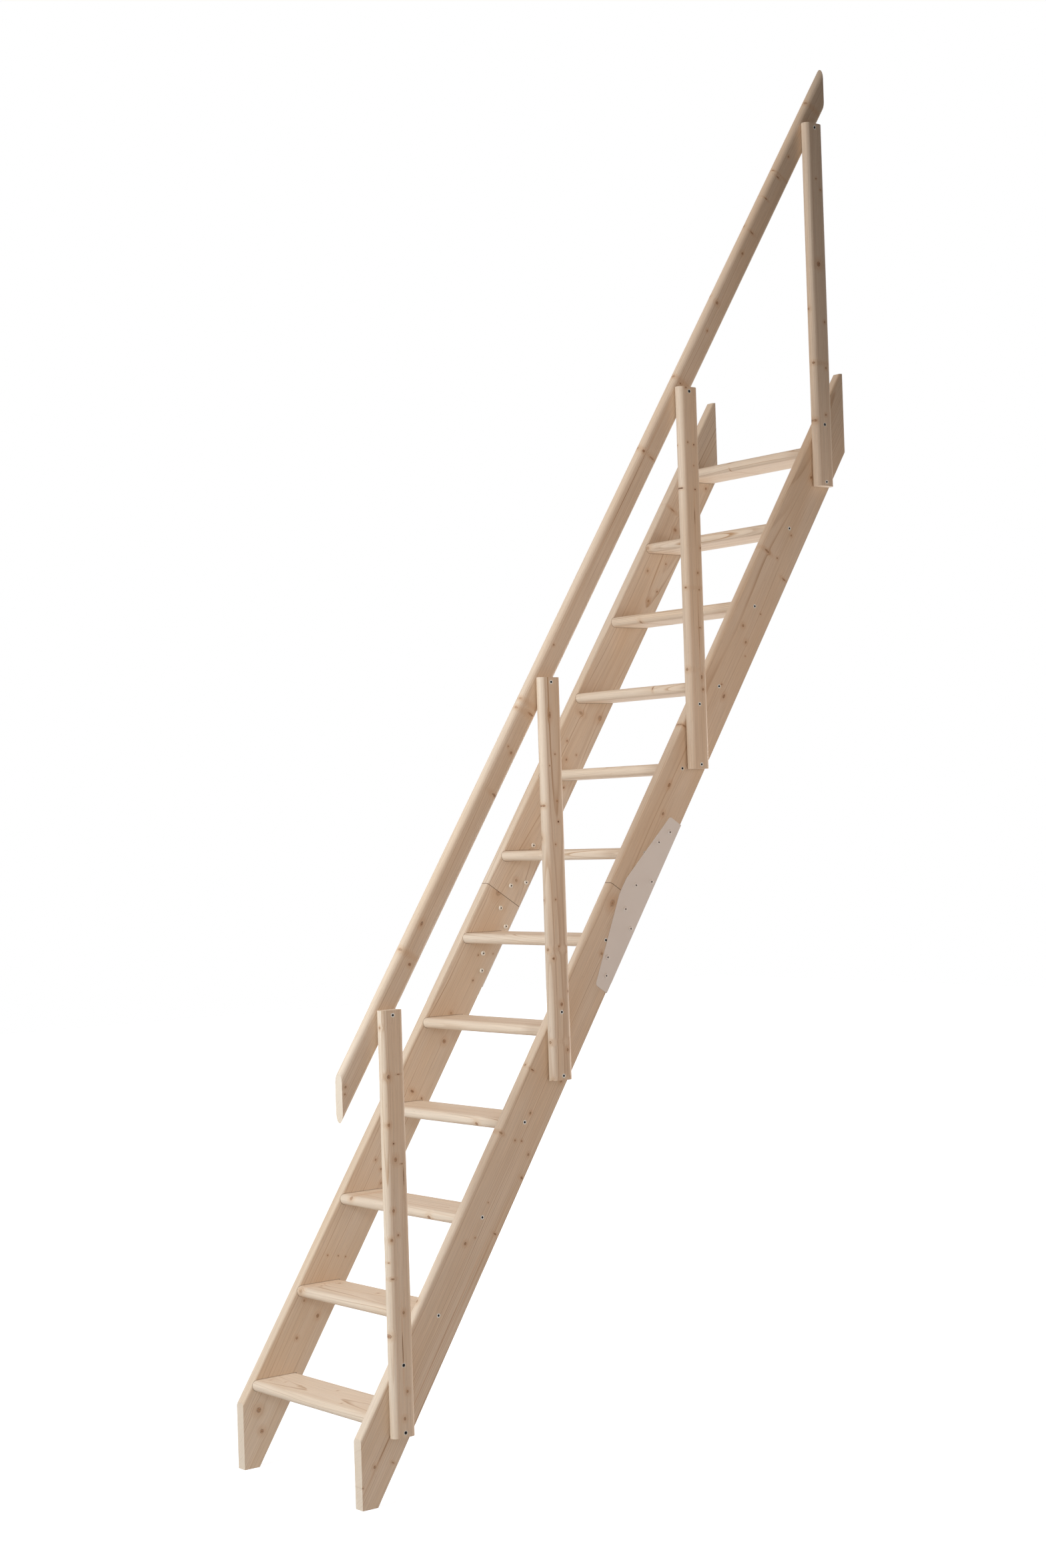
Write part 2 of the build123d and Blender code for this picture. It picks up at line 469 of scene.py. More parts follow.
def fibre_group() -> bpy.types.NodeTree:
    """Makes the fine streaks, pores and broad tone changes along a board.

    Returns:
        The group, with masks around 0.5.
    """
    graph, start, end = new_group(
        "wood fibre",
        {"Vector": ("Vector", (0, 0, 0)), "Seed": ("Vector", (0, 0, 0))},
        {"Streak": "Float", "Band": "Float", "Patch": "Float", "Fleck": "Float"},
    )
    vector, seed = start.outputs["Vector"], start.outputs["Seed"]
    streak = graph.noise(graph.stretch(vector, STREAK_LUMPS, seed), detail=3.0, roughness=0.6)
    graph.feed(end, "Streak", streak)
    graph.feed(end, "Band", graph.noise(graph.stretch(vector, BAND_LUMPS, seed)))
    graph.feed(end, "Patch", graph.noise(graph.stretch(vector, PATCH_LUMPS, seed)))
    fleck = graph.noise(graph.stretch(vector, FLECK_LUMPS, seed), detail=1.0)
    graph.feed(end, "Fleck", graph.ramp(fleck, *FLECKS))
    return graph.tree


def knot_group(run: KnotRun) -> bpy.types.NodeTree:
    """Makes one knot: it bends the grain round itself and adds its own dark disc.

    Args:
        run: The way the branch ran through the board.

    Returns:
        The group, to be chained for more knots.
    """
    graph, start, end = new_group(
        f"knot {run.value}",
        {
            "Vector": ("Vector", (0, 0, 0)),
            "Masks": ("Vector", (0, 0, 0)),
            "Along": ("Float", 0.0),
            "Across": ("Float", 0.0),
            "Size": ("Float", 0.008),
            "Length": ("Float", 1.2),
            "Dark": ("Float", 0.8),
            "Rough": ("Float", 0.5),
        },
        {"Vector": "Vector", "Masks": "Vector"},
    )
    vector, before, along, across, size, length, dark, rough = start.outputs[:8]
    place = graph.split(vector)
    cross, deep = ("Y", "Z") if run is KnotRun.THROUGH_FACE else ("Z", "Y")
    away = graph.maths("DIVIDE", graph.maths("SUBTRACT", place["X"], along), length)
    aside = graph.maths("SUBTRACT", place[cross], across)
    wobble = graph.maths("MULTIPLY_ADD", rough, KNOT_WOBBLE, -KNOT_WOBBLE / 2)
    radii = graph.maths("DIVIDE", graph.length(away, aside), size)
    distance = graph.maths("ADD", radii, wobble)

    # The grain runs closer together beside the knot
    square = graph.maths("MULTIPLY", distance, distance)
    near = graph.maths("EXPONENT", graph.maths("MULTIPLY", square, -KNOT_REACH))
    squeeze = graph.maths("MULTIPLY_ADD", near, -KNOT_SQUEEZE, 1.0)
    bent = graph.add("CombineXYZ", X=place["X"])
    graph.feed(bent, cross, graph.maths("MULTIPLY_ADD", aside, squeeze, across))
    graph.feed(bent, deep, place[deep])
    graph.feed(end, "Vector", bent.outputs[0])

    # The disc, its dark and partly broken rim, and the stained halo round it
    core = graph.maths("MULTIPLY", graph.fade(distance, *CORE_ENDS), dark)
    inside, outside = graph.ramp(distance, *RIM_COMES), graph.fade(distance, *RIM_GOES)
    rim = graph.maths("MULTIPLY", inside, outside)
    broken = graph.ramp(dark, *RIM_BY_DARKNESS)
    broken = graph.maths("MULTIPLY", graph.ramp(rough, *RIM_BREAKS), broken)
    heart = graph.maths(
        "MAXIMUM", graph.ramp(dark, *ALL_DARK), graph.fade(distance, *HEART_ENDS)
    )
    rim = graph.maths(
        "MAXIMUM", graph.maths("MULTIPLY", rim, broken), graph.maths("MULTIPLY", core, heart)
    )
    halo = graph.fade(distance, *HALO_ENDS)
    others = graph.split(before)
    masks = graph.add("CombineXYZ")
    for name, value in (("X", core), ("Y", rim), ("Z", halo)):
        graph.feed(masks, name, graph.maths("MAXIMUM", others[name], value))
    graph.feed(end, "Masks", masks.outputs[0])
    return graph.tree


def housing_shade_group() -> bpy.types.NodeTree:
    """Makes painted shade: a thin dark line round the treads' housings, in the stair's own axes.

    Returns:
        The group, with the painted shade's mask on the stringers' inner faces.
    """
    graph, start, end = new_group(
        "painted housing shade", {"Vector": ("Vector", (0, 0, 0))}, {"Painted Shade": "Float"}
    )
    place = graph.split(start.outputs["Vector"])
    half = TREAD_THICKNESS / 2
    middle = graph.maths("ADD", place["Z"], half)
    number = graph.maths("ROUND", graph.maths("DIVIDE", middle, RISE))
    number = graph.maths("MINIMUM", graph.maths("MAXIMUM", number, 1.0), float(STEPS))
    nosing = graph.maths("MULTIPLY_ADD", number, GOING, FIRST_NOSING - GOING)
    behind = graph.maths("SUBTRACT", place["Y"], nosing)
    step_top = graph.maths("MULTIPLY", number, RISE)
    above = graph.maths("ADD", graph.maths("SUBTRACT", place["Z"], step_top), half)
    front = graph.maths("MAXIMUM", graph.maths("SUBTRACT", half, behind), 0.0)
    outside = graph.maths(
        "MAXIMUM",
        graph.maths("SUBTRACT", graph.length(front, above), half),
        graph.maths("SUBTRACT", behind, TREAD_DEPTH),
    )
    # Painted shade in the crevice round each tread's end
    line = graph.fade(outside, *HOUSING_SHADE_ENDS)
    apart = graph.maths("ABSOLUTE", graph.maths("SUBTRACT", place["X"], STAIR_MIDDLE))
    inner = graph.fade(apart, *INNER_FACES_END)
    graph.feed(end, "Painted Shade", graph.maths("MULTIPLY", line, inner))
    return graph.tree


@dataclass(frozen=True)
class WoodGroups:
    """The shader node groups that the boards share."""

    rings: bpy.types.NodeTree
    fibre: bpy.types.NodeTree
    housing: bpy.types.NodeTree
    knots: dict[KnotRun, bpy.types.NodeTree]

    @classmethod
    def build(cls) -> "WoodGroups":
        """Builds each group once."""
        runs = {run: knot_group(run) for run in KnotRun}
        return cls(rings_group(), fibre_group(), housing_shade_group(), runs)


@dataclass(frozen=True)
class Knot:
    """One knot or crack of a board, in metres in the board's own axes.

    Its length is a share of its width, so a crack is a very long knot.
    """

    along: float
    across: float
    size: float
    length: float
    dark: float
    run: KnotRun


def face(*rows: Row) -> tuple[Knot, ...]:
    """Makes knots through the wide face from rows of along, across, size, length and dark."""
    return tuple(Knot(*row, KnotRun.THROUGH_FACE) for row in rows)


def edge(*rows: Row) -> tuple[Knot, ...]:
    """Makes knots through the narrow edge from rows of along, across, size, length and dark."""
    return tuple(Knot(*row, KnotRun.THROUGH_EDGE) for row in rows)


# The knots and cracks that the photograph shows, by board
KNOTS: dict[str, tuple[Knot, ...]] = {
    "left lower": face(
        (0.005, -0.0505, 0.006, 1, 0.7), (-0.036, -0.0856, 0.005, 1, 0.7),
        (0.278, -0.0913, 0.0035, 1.4, 0.8), (0.204, -0.0625, 0.003, 1.2, 0.7),
        (0.294, -0.0348, 0.0025, 1.2, 0.6), (0.422, -0.0407, 0.0016, 1, 0.8),
        (0.435, -0.0712, 0.0016, 1, 0.8), (0.443, -0.0926, 0.0016, 1, 0.8),
        (0.697, -0.0504, 0.0025, 1.2, 0.7), (0.684, -0.0778, 0.0025, 1.2, 0.7),
        (0.653, -0.0962, 0.0025, 1.2, 0.6), (0.903, -0.0636, 0.005, 0.7, 0.8),
        (0.901, -0.1001, 0.0025, 1, 0.8), (1.065, -0.0887, 0.005, 1, 0.8),
        (1.14, -0.0703, 0.003, 1, 0.5), (1.25, -0.0901, 0.002, 1.4, 0.9),
        (1.317, -0.0713, 0.0018, 1.2, 0.9), (1.345, -0.1126, 0.0016, 1, 0.6),
        (1.497, -0.0442, 0.008, 1.2, 0.45),
    ),
    "left upper": face(
        (1.556, -0.0809, 0.004, 1, 0.5), (1.862, -0.0937, 0.0025, 1.2, 0.8),
        (1.934, -0.0624, 0.0025, 1.2, 0.7), (1.98, -0.0381, 0.0025, 1.2, 0.7),
        (1.964, -0.0861, 0.002, 1, 0.7), (2.099, -0.1054, 0.006, 1.2, 0.5),
        (2.074, -0.0409, 0.007, 0.6, 0.5), (2.487, -0.0874, 0.003, 1.2, 0.7),
        (2.529, -0.101, 0.0025, 1.2, 0.7), (2.56, -0.0418, 0.003, 1.2, 0.6),
        (2.617, -0.0884, 0.002, 1, 0.8), (2.723, -0.068, 0.005, 0.8, 0.7),
        (2.767, -0.0303, 0.009, 0.25, 0.6), (2.898, -0.1043, 0.003, 1.2, 0.8),
    ),
    "right lower": face(
        (0.01, -0.0719, 0.0014, 35, 0.6), (0.302, -0.0979, 0.0007, 118, 0.5),
        (0.487, -0.1096, 0.0007, 86, 0.45), (-0.038, -0.0687, 0.003, 1.2, 0.8),
        (-0.009, -0.1109, 0.0035, 0.5, 0.6), (-0.093, -0.0621, 0.0016, 1, 0.8),
        (0.519, -0.044, 0.003, 1.2, 0.8), (0.544, -0.0631, 0.0016, 1, 0.8),
        (0.578, -0.1132, 0.004, 0.5, 0.9), (0.634, -0.0565, 0.0016, 1, 0.7),
        (0.731, -0.1184, 0.004, 0.7, 0.8), (0.789, -0.1082, 0.0025, 1.2, 0.7),
        (0.8, -0.0538, 0.0022, 1, 0.8), (0.808, -0.0731, 0.0022, 1, 0.8),
        (0.796, -0.0062, 0.005, 0.5, 0.6), (0.879, -0.0626, 0.0025, 1.2, 0.7),
        (0.973, -0.0143, 0.005, 0.35, 0.9), (0.992, -0.1088, 0.003, 1.2, 0.6),
        (1.329, -0.0637, 0.0035, 1, 0.6), (1.456, -0.0295, 0.007, 1.3, 0.5),
    ) + edge(
        (0.346, -0.0105, 0.004, 1, 0.7), (0.978, -0.0017, 0.003, 0.8, 0.8),
    ),
    "right upper": face(
        (1.741, -0.0607, 0.003, 1.4, 0.8), (1.816, -0.0409, 0.0035, 1.6, 0.8),
        (1.977, -0.006, 0.009, 0.3, 0.6), (2.121, -0.0859, 0.0035, 1.6, 0.8),
        (2.144, -0.0639, 0.002, 1, 0.8), (2.256, -0.0967, 0.0016, 1, 0.8),
        (2.289, -0.0799, 0.003, 1.2, 0.7), (2.322, -0.0494, 0.0035, 1, 0.7),
        (2.385, -0.0867, 0.002, 1, 0.8), (2.515, -0.1111, 0.007, 0.3, 0.7),
        (2.551, -0.0615, 0.0022, 1, 0.8), (2.546, -0.0211, 0.009, 0.3, 0.75),
        (2.635, -0.0736, 0.0025, 1, 0.7), (2.817, -0.0556, 0.003, 1.2, 0.7),
    ),
    "tread 01": face(
        (-0.22, 0.0393, 0.003, 0.4, 0.8), (-0.174, 0.0529, 0.003, 0.4, 0.8),
        (-0.111, 0.0532, 0.003, 0.4, 0.8), (0, 0.0908, 0.003, 0.5, 0.8),
        (0.118, 0.023, 0.003, 0.5, 0.8),
    ),
    "tread 02": face(
        (-0.201, 0.0458, 0.003, 1, 0.8), (-0.197, 0.0976, 0.004, 1, 0.7),
        (-0.011, 0.0874, 0.003, 1, 0.8),
    ) + edge(
        (-0.228, 0.0027, 0.005, 1.5, 0.5),
    ),
    "tread 03": edge(
        (0.14, -0.0056, 0.004, 1.3, 0.8), (-0.197, 0.0069, 0.004, 1.3, 0.7),
    ),
    "tread 04": edge(
        (0.159, -0.0062, 0.004, 1.3, 0.8),
    ),
    "tread 09": edge(
        (0.079, 0.0065, 0.005, 0.4, 0.9),
    ),
    "tread 10": edge(
        (-0.123, -0.0103, 0.004, 1, 0.6),
    ),
    "tread 11": edge(
        (-0.237, -0.0002, 0.005, 1.4, 0.5),
    ),
    "tread 12": edge(
        (-0.037, -0.0105, 0.003, 0.5, 0.8),
    ),
    "handrail": face(
        (2.39, 0.0116, 0.0006, 200, 0.9), (0.679, 0.0056, 0.0025, 1.2, 0.7),
        (0.664, -0.0014, 0.002, 1, 0.7), (1.013, -0.0083, 0.0035, 1, 0.9),
        (1.113, 0.0105, 0.003, 2, 0.7), (1.492, -0.0214, 0.009, 0.35, 0.7),
        (1.609, -0.0101, 0.003, 1.2, 0.7), (1.618, 0.0052, 0.002, 1, 0.7),
        (1.724, -0.0125, 0.008, 0.35, 0.7), (1.906, -0.0287, 0.0025, 1.2, 0.7),
        (1.914, 0.0132, 0.002, 1, 0.8), (2.514, 0.0205, 0.0035, 1, 0.9),
        (2.514, -0.0112, 0.007, 0.3, 0.7), (2.744, 0.0081, 0.003, 0.6, 0.8),
        (2.924, 0.0037, 0.0025, 1, 0.7), (3.011, 0.0132, 0.004, 1, 0.7),
        (3.185, 0.0082, 0.003, 1.2, 0.7), (3.256, 0.0097, 0.006, 0.4, 0.7),
        (3.371, 0.0161, 0.006, 0.25, 0.7), (3.451, 0.0109, 0.005, 0.4, 0.8),
        (3.527, 0.0086, 0.0025, 1, 0.7),
    ) + edge(
        (1.032, 0.0065, 0.0045, 0.8, 0.5), (1.718, 0.0065, 0.004, 0.8, 0.5),
        (1.744, 0.0065, 0.004, 0.8, 0.4), (2.517, -0.003, 0.006, 0.6, 0.5),
        (2.752, 0.0036, 0.005, 0.6, 0.5), (3.023, -0.0038, 0.003, 1, 0.6),
        (3.265, -0.0018, 0.003, 1, 0.7), (3.462, 0.0066, 0.004, 0.4, 0.7),
        (3.706, 0.0065, 0.0045, 0.8, 0.5),
    ),
    "post 1": face(
        (0.605, 0.0164, 0.0008, 24, 1), (0.204, -0.001, 0.0009, 41, 1),
        (0.841, -0.0175, 0.004, 1.2, 0.8), (0.845, 0.0102, 0.004, 0.3, 0.9),
        (0.729, -0.0208, 0.003, 1.2, 0.7), (0.685, -0.0092, 0.002, 1, 1),
        (0.647, -0.005, 0.004, 1.2, 0.7), (0.636, 0.0118, 0.004, 0.3, 0.7),
        (0.529, -0.0152, 0.003, 1.2, 0.7), (0.461, -0.0225, 0.003, 1.2, 0.7),
        (0.471, -0.0041, 0.0025, 1, 0.7), (0.409, -0.0293, 0.0015, 1, 0.8),
        (0.371, -0.0231, 0.004, 0.5, 0.8), (0.29, 0.0042, 0.003, 1.2, 0.7),
        (0.238, -0.032, 0.0035, 1.2, 0.8), (0.106, 0.0086, 0.003, 1.2, 0.7),
        (0.044, -0.0014, 0.003, 1.2, 0.7),
    ) + edge(
        (0.956, -0.0027, 0.0025, 1.2, 0.7),
    ),
    "post 2": face(
        (0.902, -0.0081, 0.003, 2.5, 0.7), (0.805, 0.0048, 0.0018, 1, 0.9),
        (0.777, -0.0133, 0.0015, 1, 0.9), (0.678, -0.0301, 0.0025, 1.2, 0.8),
        (0.689, 0.0064, 0.0018, 1, 0.9), (0.638, 0.0085, 0.0025, 1, 1),
        (0.582, -0.0024, 0.002, 1, 0.7), (0.446, -0.0081, 0.002, 1, 0.8),
        (0.33, -0.0023, 0.002, 1, 0.7), (0.301, -0.0205, 0.003, 1, 0.9),
        (0.218, 0.0228, 0.0025, 1.2, 0.8), (0.187, 0.0002, 0.004, 1.1, 0.8),
        (0.074, 0.0145, 0.003, 1.2, 0.7),
    ) + edge(
        (0.598, 0.0047, 0.004, 1.4, 0.5), (0.445, 0.0047, 0.003, 1.2, 0.7),
        (0.323, -0.0047, 0.003, 1.2, 0.7), (0.095, -0.0034, 0.003, 1.2, 0.7),
        (-0.002, -0.0062, 0.003, 1.2, 0.7),
    ),
    "post 3": face(
        (0.657, 0.0047, 0.0008, 25, 1), (0.356, 0.0062, 0.0008, 60, 0.6),
        (0.993, -0.0117, 0.003, 0.6, 0.8), (0.85, -0.0112, 0.002, 1, 0.8),
        (0.845, 0.0096, 0.002, 1, 1), (0.79, 0.0072, 0.0015, 1, 0.7), (0.73, -0.0305, 0.002, 1, 1),
        (0.728, 0.009, 0.002, 1, 1), (0.575, 0.0209, 0.0025, 1.2, 0.8),
        (0.51, 0.0085, 0.0025, 1.2, 0.7), (0.466, 0.0113, 0.002, 1, 0.8),
        (0.367, 0.0091, 0.003, 0.6, 0.8), (0.238, 0.0103, 0.0025, 2, 0.8),
        (0.206, 0.0135, 0.003, 1, 0.8),
    ) + edge(
        (0.843, 0.0054, 0.002, 1, 0.8), (0.471, -0.0071, 0.0025, 1, 0.9),
        (0.258, -0.0041, 0.003, 1.2, 0.7),
    ),
    "post 4": face(
        (0.843, -0.0018, 0.002, 1, 0.8), (0.814, 0.0135, 0.002, 1, 0.8),
        (0.608, -0.003, 0.006, 1.1, 0.85), (0.45, 0.0125, 0.0025, 1.2, 0.7),
        (0.324, 0.0115, 0.0025, 1.2, 0.7), (0.178, -0.029, 0.003, 1.2, 0.7),
        (0.195, 0.0052, 0.0025, 1, 0.8),
    ) + edge(
        (0.485, 0.0018, 0.003, 1.2, 0.7), (0.336, -0.0076, 0.003, 1, 0.9),
    ),
}


@dataclass(frozen=True)
class BoardLay:
    """How a board lies in the stair: its start, the way its grain runs, and across its face."""

    origin: Vector
    grain: Vector
    across: Vector

    def turn(self) -> Matrix:
        """Gives the turn from the stair's axes into the board's: along, across, through."""
        through = self.grain.cross(self.across)
        return Matrix((self.grain, self.across, through))


@dataclass(frozen=True)
class Cut:
    """Where a board was cut from the log, and how it differs from the other boards.

    The pith's place is across and through the board, the seam is the place of a butt joint
    along it, and the housings flag asks for painted shade round the treads' housings.
    """

    seed: int
    pith: Pair = (0.01, -0.07)
    ring_width: float = 0.0042
    wander: float = 0.03
    strength: float = 0.55
    tone: float = 1.0
    warmth: float = 0.3
    seam: float | None = None
    housings: bool = False

    def offset(self) -> Vector:
        """Gives the board's own place in the noise."""
        return Vector([self.seed * step % SEED_SPAN for step in SEED_STEPS])


@dataclass(frozen=True)
class SpruceFinish:
    """Planed, untreated spruce, cut from its own place in the log for each board.

    Shares are those of a mark's colour over the wood. The band, patch and streak noises count
    within their reach, and bring the late wood and the tone of a board to their range.
    """

    groups: WoodGroups
    early: Colour = linear(229, 211, 190)
    late: Colour = linear(172, 130, 90)
    warm: Colour = linear(216, 186, 152)
    knot: Colour = linear(168, 116, 76)
    rim: Colour = linear(84, 50, 32)
    halo: Colour = linear(204, 164, 124)
    end_grain: Colour = linear(224, 208, 188)
    # Dark of the butt joint, also used for the painted shade round the housings
    gap_and_painted_shade: Colour = linear(92, 66, 46)
    band_range: Pair = (0.3, 1.25)
    patch_reach: Pair = (0.3, 0.75)
    patch_share: float = 1.6
    streak_reach: Pair = (0.25, 0.75)
    streak_range: Pair = (0.90, 1.08)
    fleck_share: float = 0.45
    halo_share: float = 0.45
    knot_share: float = 0.85
    end_share: float = 0.65
    end_facing: Pair = (0.45, 0.55)
    seam_share: float = 0.8
    housing_shade_share: float = 0.55
    seam_half: Pair = (0.0005, 0.0013)
    roughness: float = 0.6
    gloss: float = 0.3
    bump_strength: float = 0.3
    bump_depth: float = 0.0004

    def make(self, name: str, lay: BoardLay, cut: Cut) -> bpy.types.Material:
        """Makes the material of one board.

        Args:
            name: The board's name, which also picks its knots.
            lay: How the board lies.
            cut: Where in the log it was cut.

        Returns:
            The material.
        """
        material, graph = new_material(f"spruce {name}")
        board = self.board_axes(graph, lay)
        grain_at, masks = self.bend_grain(graph, board, KNOTS.get(name, ()))
        colour = self.wood(graph, grain_at, cut)
        if masks is not None:
            parts = graph.split(masks)
            for part, share, tint in (
                ("Z", self.halo_share, self.halo),
                ("X", self.knot_share, self.knot),
                ("Y", self.knot_share, self.rim),
            ):
                colour = graph.mix(graph.maths("MULTIPLY", parts[part], share), colour, tint)
        colour = self.pale_ends(graph, colour, lay)
        colour = self.draw_lines(graph, colour, board, cut)
        ridges = graph.noise(graph.stretch(board, RIDGE_LUMPS, cut.offset()), roughness=0.6)
        graph.surface(
            Base_Color=colour,
            Normal=graph.bump(ridges, self.bump_strength, self.bump_depth),
            Roughness=self.roughness,
            Specular_IOR_Level=self.gloss,
        )
        return material

    def board_axes(self, graph: Graph, lay: BoardLay) -> Socket:
        """Turns a place on the stair into one on the board.

        Args:
            graph: The material's graph.
            lay: How the board lies.

        Returns:
            The place along, across and through the board.
        """
        turn = lay.turn()
        mapping = graph.add(
            "Mapping",
            vector_type="POINT",
            Vector=graph.place(),
            Location=-(turn @ lay.origin),
            Rotation=turn.to_euler(),
        )
        return mapping.outputs[0]

    def bend_grain(
        self, graph: Graph, board: Socket, board_knots: tuple[Knot, ...]
    ) -> tuple[Socket, Socket | None]:
        """Bends the grain round each knot of a board.

        Args:
            graph: The material's graph.
            board: The place on the board.
            board_knots: The board's knots.

        Returns:
            The bent place, and the knots' masks where there are knots.
        """
        if not board_knots:
            return board, None
        grain_at, masks = board, (0.0, 0.0, 0.0)
        rough = graph.noise(board, scale=KNOT_LUMPS)
        for knot in board_knots:
            node = graph.group(
                self.groups.knots[knot.run],
                Vector=grain_at,
                Masks=masks,
                Along=knot.along,
                Across=knot.across,
                Size=knot.size,
                Length=knot.length,
                Dark=knot.dark,
                Rough=rough,
            )
            grain_at, masks = node.outputs["Vector"], node.outputs["Masks"]
        return grain_at, masks

    def wood(self, graph: Graph, grain_at: Socket, cut: Cut) -> Socket:
        """Colours clear wood: rings, warm patches, streaks and flecks.

        Args:
            graph: The material's graph.
            grain_at: The place on the board, bent by its knots.
            cut: Where in the log the board was cut.

        Returns:
            The colour.
        """
        offset = cut.offset()
        rings = graph.group(
            self.groups.rings,
            Vector=grain_at,
            Seed=offset,
            Pith_Across=cut.pith[0],
            Pith_Below=cut.pith[1],
            Ring_Width=cut.ring_width,
            Wander=cut.wander,
        )
        fibre = graph.group(self.groups.fibre, Vector=grain_at, Seed=offset).outputs
        weakest, strongest = (share * cut.strength for share in self.band_range)
        band = graph.ramp(fibre["Band"], *NOISE_MIDDLE, weakest, strongest)
        share = graph.maths("MULTIPLY", rings.outputs["Late"], band)
        colour = graph.mix(share, self.early, self.late)
        warmest = self.patch_share * cut.warmth
        patch = graph.ramp(fibre["Patch"], *self.patch_reach, 0.0, warmest)
        colour = graph.mix(patch, colour, self.warm)
        shaded = graph.vectors("SCALE", colour)
        darkest, lightest = (share * cut.tone for share in self.streak_range)
        streak = graph.ramp(fibre["Streak"], *self.streak_reach, darkest, lightest)
        graph.feed(shaded, "Scale", streak)
        fleck = graph.maths("MULTIPLY", fibre["Fleck"], self.fleck_share)
        return graph.mix(fleck, shaded.outputs["Vector"], self.late)

    def pale_ends(self, graph: Graph, colour: Socket, lay: BoardLay) -> Socket:
        """Lays the paler end grain over the faces that cut across the board.

        Args:
            graph: The material's graph.
            colour: The colour so far.
            lay: How the board lies.

        Returns:
            The colour.
        """
        normal = graph.add("NewGeometry").outputs["True Normal"]
        facing = graph.vectors("DOT_PRODUCT", normal, lay.grain).outputs["Value"]
        facing = graph.maths("ABSOLUTE", facing)
        ends = graph.ramp(facing, *self.end_facing, 0.0, self.end_share)
        return graph.mix(ends, colour, self.end_grain)

    def draw_lines(self, graph: Graph, colour: Socket, board: Socket, cut: Cut) -> Socket:
        """Draws the thin dark line of a butt joint, and painted shade round the housings.

        Args:
            graph: The material's graph.
            colour: The colour so far.
            board: The place on the board.
            cut: The board's cut, which says which lines it has.

        Returns:
            The colour.
        """
        if cut.seam is not None:
            along = graph.split(board)["X"]
            off = graph.maths("ABSOLUTE", graph.maths("SUBTRACT", along, cut.seam))
            line = graph.fade(off, *self.seam_half, self.seam_share)
            colour = graph.mix(line, colour, self.gap_and_painted_shade)
        # Painted shade: a thin dark line on the stringers' inner faces round each tread
        if cut.housings:
            shade_line = graph.group(self.groups.housing, Vector=graph.place()).outputs["Painted Shade"]
            line = graph.maths("MULTIPLY", shade_line, self.housing_shade_share)
            colour = graph.mix(line, colour, self.gap_and_painted_shade)
        return colour


@dataclass(frozen=True)
class PlateFinish:
    """Warm grey powder coat on folded sheet steel."""

    coat: Colour = linear(234, 228, 222)
    cloud: Colour = linear(218, 211, 204)
    cloud_share: float = 0.15
    cloud_lumps: float = 14.0
    peel_lumps: float = 900.0
    peel_strength: float = 0.25
    peel_depth: float = 0.0002
    roughness: float = 0.48

    def make(self, name: str) -> bpy.types.Material:
        """Makes the material.

        Args:
            name: The material's name.

        Returns:
            The material.
        """
        material, graph = new_material(name)
        position = graph.place()
        peel = graph.noise(position, scale=self.peel_lumps)
        cloud = graph.noise(position, scale=self.cloud_lumps)
        cloudy = graph.ramp(cloud, *NOISE_MIDDLE, 0.0, self.cloud_share)
        colour = graph.mix(cloudy, self.coat, self.cloud)
        normal = graph.bump(peel, self.peel_strength, self.peel_depth)
        graph.surface(Base_Color=colour, Normal=normal, Roughness=self.roughness)
        return material


@dataclass(frozen=True)
class ScrewHead:
    """One screw head seen square on: its middle, and how far the black disc of painted shade over
    its socket reaches.
    """

    y: float
    z: float
    black: float = 0.0030


@dataclass(frozen=True)
class ZincFinish:
    """Bright zinc on the screw heads, with painted shade down in their sockets and a black disc of
    it over each.
    """

    zinc: Colour = linear(214, 211, 204)
    dull: Colour = linear(184, 178, 168)
    shadow: Colour = linear(34, 30, 27)
    bloom_lumps: float = 420.0
    bloom_reach: Pair = (0.35, 0.7)
    dull_share: float = 0.5
    socket_open: Pair = (0.40, 0.85)
    soft_edge: float = 0.0003
    roughness_range: Pair = (0.38, 0.5)
    metallic: float = 0.5

    def make(self, name: str, screws: tuple[ScrewHead, ...]) -> bpy.types.Material:
        """Makes the material.

        Args:
            name: The material's name.
            screws: The heads that it covers.

        Returns:
            The material.
        """
        material, graph = new_material(name)
        position = graph.place()
        bloom = graph.noise(position, scale=self.bloom_lumps, detail=3.0)
        dull = graph.ramp(bloom, *self.bloom_reach, 0.0, self.dull_share)
        colour = graph.mix(dull, self.zinc, self.dull)
        # Painted shade: dark where the socket walls close in, and a black disc over each head's
        # socket
        black = graph.fade(graph.openness(), *self.socket_open)
        place = graph.split(position)
        square_on = graph.add("CombineXYZ", Y=place["Y"], Z=place["Z"]).outputs[0]
        for screw in screws:
            off = graph.vectors("DISTANCE", square_on, (0.0, screw.y, screw.z)).outputs["Value"]
            low, high = screw.black - self.soft_edge, screw.black + self.soft_edge
            black = graph.maths("MAXIMUM", black, graph.fade(off, low, high))
        colour = graph.mix(black, colour, self.shadow)
        roughness = graph.ramp(bloom, *NOISE_MIDDLE, *self.roughness_range)
        graph.surface(Base_Color=colour, Roughness=roughness, Metallic=self.metallic)
        return material


